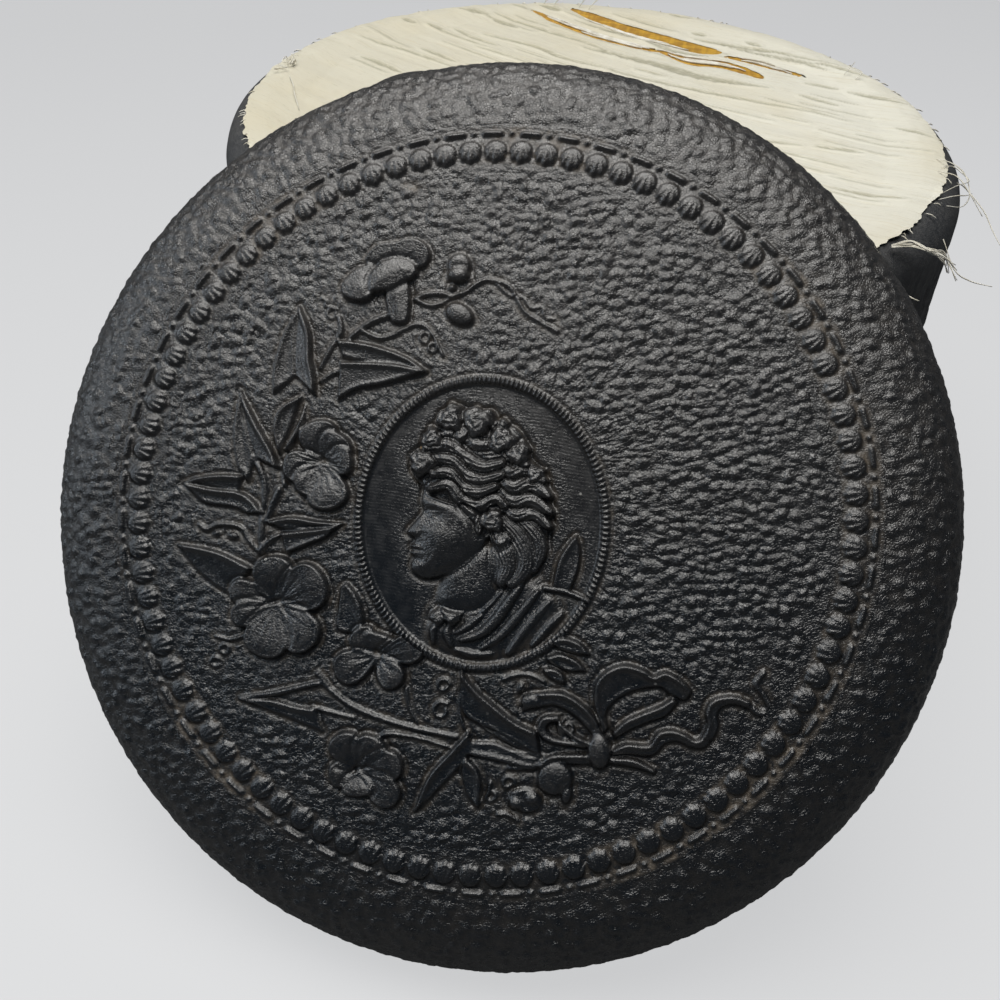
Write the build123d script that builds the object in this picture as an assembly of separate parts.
from build123d import *
import os
from math import cos, degrees, radians, sin, sqrt

# A round collar box of leather over pasteboard, with its lid taken off.
# The drum stands upside down, its neck on the table and its silk-covered bottom on top.
# The lid's foot is on the table, and the inside of its crown leans on the drum's shoulder.
# Millimetres. +Z is up, the drum's axis is Z, and the lid leans on the -Y side.

# Driving sizes of the whole box
box_radius = 88.0
wall_height = 98.0
neck_stand = 12.0

# Leather, and the thinner leather that is turned in over an edge
leather = 1.2
leather_turned = 0.6
hem_depth = 8.0
edge_round = 1.0

# Pasteboard of the drum, of its neck and of the lid
drum_board = 2.0
neck_board = 1.8
lid_board = 1.6
crown_board = 2.0

# Paper and silk
lining = 0.4
paper = 0.3
silk = 0.4

# The drum's bottom, which faces up
shoulder_round = 8.0
margin_width = 8.0
margin_edge = 0.3
paper_slope = 2.0
paper_inset = 2.0
silk_reach = 3.0
neck_lap = 7.0

# The lid, in its own frame: rim plane at zero, axis along +Z
skirt_height = 10.0
ring_inset = 17.6
ring_rise = 11.0
dome_rise = 2.0
bead_inset = 3.0
bead_stand = 0.8
oval_half_width = 23.4
oval_half_height = 26.9
oval_border = 1.4
oval_stand = 0.9
oval_across = 0.2
oval_down = -2.6
oval_turn = 10.0
strip_width = 2.4

# Room between pieces that aren't glued to each other
lean_room = 0.3
glue_room = 0.05


def turned(*edges):
    """The solid of revolution about Z of a closed outline, drawn as radius and height."""
    return revolve(Plane.XZ * make_face([e for line in edges for e in line.edges()]), Axis.Z)


def dome(apex):
    """Radius and centre's height of the sphere that falls by dome_rise out to the ring."""
    radius = (ring_radius**2 + dome_rise**2) / (2 * dome_rise)
    return radius, apex - radius


def dome_arc(apex):
    """An arc of the dome from the axis out to the ring."""
    radius, centre = dome(apex)
    half = ring_radius / 2
    middle = centre + sqrt(radius**2 - half**2)
    return ThreePointArc((0, apex), (half, middle), (ring_radius, apex - dome_rise))


def save(node, solid, colour):
    """Write one piece to its own file."""
    solid.label = node
    solid.color = Color(colour)
    export_step(solid, f"parts/{node}.step")


# Heights and radii of the drum, from the table up
mouth = neck_stand
drum_top = mouth + wall_height
shoulder_axis = box_radius - shoulder_round
shoulder_level = drum_top - shoulder_round
board_out = box_radius - leather
board_in = board_out - drum_board
turned_in = board_in - leather_turned
floor_out = drum_top - leather
floor_in = floor_out - drum_board
floor_outer_round = shoulder_round - leather
floor_inner_round = floor_outer_round - drum_board

# The leather's margin on the bottom, and the paper that runs out over it
margin_radius = shoulder_axis - margin_width
margin_top = floor_out + margin_edge
paper_radius = shoulder_axis - paper_inset
silk_radius = shoulder_axis + silk_reach
paper_end = margin_top + (leather - margin_edge) * (margin_width - paper_inset) / margin_width

# The neck fits the hem that is turned in at the drum's mouth
neck_lined = turned_in
neck_out = neck_lined - lining
neck_in = neck_out - neck_board
room_radius = neck_in - lining
neck_rise = sqrt(floor_inner_round**2 - (neck_out - shoulder_axis) ** 2)
neck_top = shoulder_level + neck_rise - glue_room
lining_rise = sqrt(floor_inner_round**2 - (neck_in - shoulder_axis) ** 2)
lining_top = shoulder_level + lining_rise - glue_room
room_top = floor_in - lining


def drum_leather():
    """Skin of the side, turned in at the mouth and turned over the shoulder, pared at its end."""
    corner = shoulder_round * sin(radians(45))
    inner_corner = floor_outer_round * sin(radians(45))
    bend = edge_round * (1 - sin(radians(45)))
    hem_end = mouth + hem_depth
    edge = mouth + leather_turned
    return turned(
        Polyline((box_radius, mouth + edge_round), (box_radius, shoulder_level)),
        ThreePointArc(
            (box_radius, shoulder_level),
            (shoulder_axis + corner, shoulder_level + corner),
            (shoulder_axis, drum_top),
        ),
        Polyline(
            (shoulder_axis, drum_top),
            (margin_radius, margin_top),
            (margin_radius, floor_out),
            (shoulder_axis, floor_out),
        ),
        ThreePointArc(
            (shoulder_axis, floor_out),
            (shoulder_axis + inner_corner, shoulder_level + inner_corner),
            (board_out, shoulder_level),
        ),
        Polyline(
            (board_out, shoulder_level),
            (board_out, edge),
            (board_in, edge),
            (board_in, hem_end),
            (turned_in, hem_end),
            (turned_in, mouth),
            (box_radius - edge_round, mouth),
        ),
        ThreePointArc(
            (box_radius - edge_round, mouth),
            (box_radius - bend, mouth + bend),
            (box_radius, mouth + edge_round),
        ),
    )


def drum_hoop():
    """The bent board of the drum's side, from the mouth up to the shoulder."""
    low = mouth + leather_turned
    height = shoulder_level - low
    ring = Cylinder(board_out, height) - Cylinder(board_in, height)
    return Pos(0, 0, low + height / 2) * ring


def drum_floor():
    """The moulded bottom board, a shallow pan whose rounded edge meets the hoop."""
    outer = floor_outer_round * sin(radians(45))
    inner = floor_inner_round * sin(radians(45))
    return turned(
        Polyline((0, floor_in), (0, floor_out), (shoulder_axis, floor_out)),
        ThreePointArc(
            (shoulder_axis, floor_out),
            (shoulder_axis + outer, shoulder_level + outer),
            (board_out, shoulder_level),
        ),
        Polyline((board_out, shoulder_level), (board_in, shoulder_level)),
        ThreePointArc(
            (board_in, shoulder_level),
            (shoulder_axis + inner, shoulder_level + inner),
            (shoulder_axis, floor_in),
        ),
        Polyline((shoulder_axis, floor_in), (0, floor_in)),
    )


def bottom_paper():
    """Paper that evens out the step at the end of the leather's margin."""
    return turned(
        Polyline(
            (0, floor_out),
            (margin_radius, floor_out),
            (margin_radius, margin_top),
            (paper_radius, paper_end),
            (paper_radius, paper_end + paper),
            (margin_radius, margin_top + paper),
            (margin_radius - paper_slope, floor_out + paper),
            (0, floor_out + paper),
            (0, floor_out),
        )
    )


def shoulder_point(over, reach_share):
    """A point at the height over the shoulder's round, at a share of the silk's reach on it."""
    reach = reach_share * (silk_radius - shoulder_axis)
    drop = sqrt(shoulder_round**2 - reach**2)
    scale = (shoulder_round + over) / shoulder_round
    return (shoulder_axis + reach * scale, shoulder_level + drop * scale)


def bottom_silk():
    """Silk over the paper and the margin, out to where it ends on the rounded shoulder."""
    half_share = 0.5
    return turned(
        Polyline(
            shoulder_point(silk, 0),
            (paper_radius, paper_end + paper + silk),
            (margin_radius, margin_top + paper + silk),
            (margin_radius - paper_slope, floor_out + paper + silk),
            (0, floor_out + paper + silk),
            (0, floor_out + paper),
            (margin_radius - paper_slope, floor_out + paper),
            (margin_radius, margin_top + paper),
            (paper_radius, paper_end + paper),
            (shoulder_axis, drum_top),
        ),
        ThreePointArc(
            (shoulder_axis, drum_top), shoulder_point(0, half_share), shoulder_point(0, 1)
        ),
        Line(shoulder_point(0, 1), shoulder_point(silk, 1)),
        ThreePointArc(
            shoulder_point(silk, 1), shoulder_point(silk, half_share), shoulder_point(silk, 0)
        ),
    )


def neck_hoop():
    """The inner hoop that stands out of the drum's mouth and guides the lid."""
    low = lining
    height = neck_top - low
    ring = Cylinder(neck_out, height) - Cylinder(neck_in, height)
    return Pos(0, 0, low + height / 2) * ring


def neck_lining():
    """Paper lining of the room, turned round the neck's edge and down its outside."""
    lap_end = mouth + neck_lap
    return turned(
        Polyline(
            (room_radius, 0),
            (neck_lined, 0),
            (neck_lined, lap_end),
            (neck_out, lap_end),
            (neck_out, lining),
            (neck_in, lining),
            (neck_in, lining_top),
            (room_radius, lining_top),
            (room_radius, 0),
        )
    )


def floor_lining():
    """Paper disc on the flat of the bottom board's inside."""
    flat = min(shoulder_axis, room_radius)
    return Pos(0, 0, room_top + lining / 2) * Cylinder(flat, lining)


# Heights and radii of the lid, in its own frame
ring_radius = box_radius - ring_inset
bead_radius = ring_radius - bead_inset
lid_out = box_radius - leather
lid_in = lid_out - lid_board
lid_turned_in = lid_in - leather_turned
lid_lined = lid_in - lining
crown_edge = skirt_height + ring_rise
crown_top = crown_edge + dome_rise
board_top = crown_top - leather
board_low = board_top - crown_board
ceiling = board_low - lining


def crown_curve(top, rim):
    """The lid's rounded shoulder at the radius rim, up to where the dome at top begins."""
    rise = top - dome_rise - skirt_height
    return EllipticalCenterArc((ring_radius, skirt_height), rim - ring_radius, rise)


def lid_leather():
    """Embossed skin of the crown and skirt, with its raised ring and the border of its oval."""
    skin = turned(
        Line((box_radius, strip_width), (box_radius, skirt_height)),
        crown_curve(crown_top, box_radius),
        dome_arc(crown_top),
        Line((0, crown_top), (0, board_top)),
        dome_arc(board_top),
        crown_curve(board_top, lid_out),
        Polyline((lid_out, skirt_height), (lid_out, strip_width), (box_radius, strip_width)),
    )
    radius, centre = dome(crown_top)
    bead_level = centre + sqrt(radius**2 - bead_radius**2)
    bead = Pos(0, 0, bead_level) * Torus(bead_radius, bead_stand)
    border = Ellipse(oval_half_width, oval_half_height) - Ellipse(
        oval_half_width - oval_border, oval_half_height - oval_border
    )
    place = Pos(oval_across, oval_down, board_top) * Rot(0, 0, oval_turn)
    return skin + bead + place * extrude(border, leather + oval_stand)


def lid_rim_leather():
    """Smooth strip that binds the rim: up the outside of the skirt, and turned in against it."""
    bend = edge_round * (1 - sin(radians(45)))
    return turned(
        Polyline(
            (box_radius, edge_round),
            (box_radius, strip_width),
            (lid_out, strip_width),
            (lid_out, leather_turned),
            (lid_in, leather_turned),
            (lid_in, hem_depth),
            (lid_turned_in, hem_depth),
            (lid_turned_in, 0),
            (box_radius - edge_round, 0),
        ),
        ThreePointArc(
            (box_radius - edge_round, 0), (box_radius - bend, bend), (box_radius, edge_round)
        ),
    )


def lid_crown_board():
    """The pressed board of the crown, which meets the skirt's hoop."""
    return turned(
        crown_curve(board_top, lid_out),
        dome_arc(board_top),
        Line((0, board_top), (0, board_low)),
        dome_arc(board_low),
        crown_curve(board_low, lid_in),
        Line((lid_in, skirt_height), (lid_out, skirt_height)),
    )


def lid_hoop():
    """The bent board of the skirt."""
    height = skirt_height - leather_turned
    ring = Cylinder(lid_out, height) - Cylinder(lid_in, height)
    return Pos(0, 0, leather_turned + height / 2) * ring


def lid_lining_band():
    """Paper inside the skirt, from the hem's end up round the shoulder to the ceiling's edge."""
    edge = board_low - dome_rise
    return turned(
        crown_curve(board_low, lid_in),
        Line((ring_radius, edge), (ring_radius, edge - lining)),
        crown_curve(ceiling, lid_lined),
        Polyline(
            (lid_lined, skirt_height),
            (lid_lined, hem_depth),
            (lid_in, hem_depth),
            (lid_in, skirt_height),
        ),
    )


def lid_lining_disc():
    """Paper on the inside of the crown."""
    edge = board_low - dome_rise
    return turned(
        dome_arc(board_low),
        Line((ring_radius, edge), (ring_radius, edge - lining)),
        dome_arc(ceiling),
        Line((0, ceiling), (0, board_low)),
    )


# The lid's place: its foot is on the table, its ceiling rests on the middle of the drum's
# shoulder, and its rim rests on the silk over the shoulder at the left and at the right
ceiling_radius, ceiling_centre = dome(ceiling)
rim_steps = 360
halvings = 50


def rim_height(lean):
    """Height of the rim's centre when the lid leans by the angle with its foot on the table."""
    return (box_radius - edge_round) * sin(lean) + edge_round * (1 - cos(lean))


def ceiling_rest(lean):
    """Place of the rim's centre along Y when the ceiling rests on the drum's shoulder."""
    reach = ceiling_radius - shoulder_round - lean_room
    rise = shoulder_level - rim_height(lean) - ceiling_centre * cos(lean)
    return ceiling_centre * sin(lean) - shoulder_axis + sqrt(max(reach**2 - rise**2, 0))


def rim_rest(lean):
    """Place of the rim's centre along Y when the rim's inner edge rests on the silk."""
    around = shoulder_round + silk + lean_room
    places = []
    for step in range(1, rim_steps):
        turn = radians(90) * step / rim_steps
        along = lid_turned_in * sin(turn)
        across = lid_turned_in * cos(turn)
        over = rim_height(lean) + along * sin(lean) - shoulder_level
        if over < around:
            out = shoulder_axis + sqrt(around**2 - max(over, 0) ** 2)
            places.append(-sqrt(max(out**2 - across**2, 0)) - along * cos(lean))
    return min(places)


def find_lean():
    """The lean at which the ceiling and the rim rest together, found from the steep side."""
    steep = flat = radians(85)
    while ceiling_rest(flat) < rim_rest(flat) and flat > radians(15):
        flat -= radians(1)
    for _ in range(halvings):
        middle = (steep + flat) / 2
        if ceiling_rest(middle) < rim_rest(middle):
            steep = middle
        else:
            flat = middle
    return steep


lean_angle = find_lean()
tilt_sin, tilt_cos = sin(lean_angle), cos(lean_angle)
rim_level = rim_height(lean_angle)
rim_back = ceiling_rest(lean_angle)
lid_place = Plane(
    origin=(0, rim_back, rim_level), x_dir=(1, 0, 0), z_dir=(0, -tilt_sin, tilt_cos)
)

save("base_leather", drum_leather(), "#2b2927")
save("base_hoop", drum_hoop(), "#9a8460")
save("base_floor_board", drum_floor(), "#a58d66")
save("base_bottom_paper", bottom_paper(), "#c08a2e")
save("base_bottom_silk", bottom_silk(), "#e0dac8")
save("neck_hoop", neck_hoop(), "#ab9470")
save("neck_lining", neck_lining(), "#d8c9a8")
save("base_floor_lining", floor_lining(), "#d2c4a2")

for node, solid, colour in (
    ("lid_leather", lid_leather(), "#242322"),
    ("lid_rim_leather", lid_rim_leather(), "#37342f"),
    ("lid_crown_board", lid_crown_board(), "#a58d66"),
    ("lid_hoop", lid_hoop(), "#9a8460"),
    ("lid_lining_band", lid_lining_band(), "#d8c9a8"),
    ("lid_lining_disc", lid_lining_disc(), "#d2c4a2"),
):
    save(node, lid_place.location * solid, colour)

print("lean", round(degrees(lean_angle), 4))
print("lid rim centre", round(rim_back, 3), round(rim_level, 3))
print("standing height", round(drum_top, 3), "ceiling depth", round(ceiling, 3))
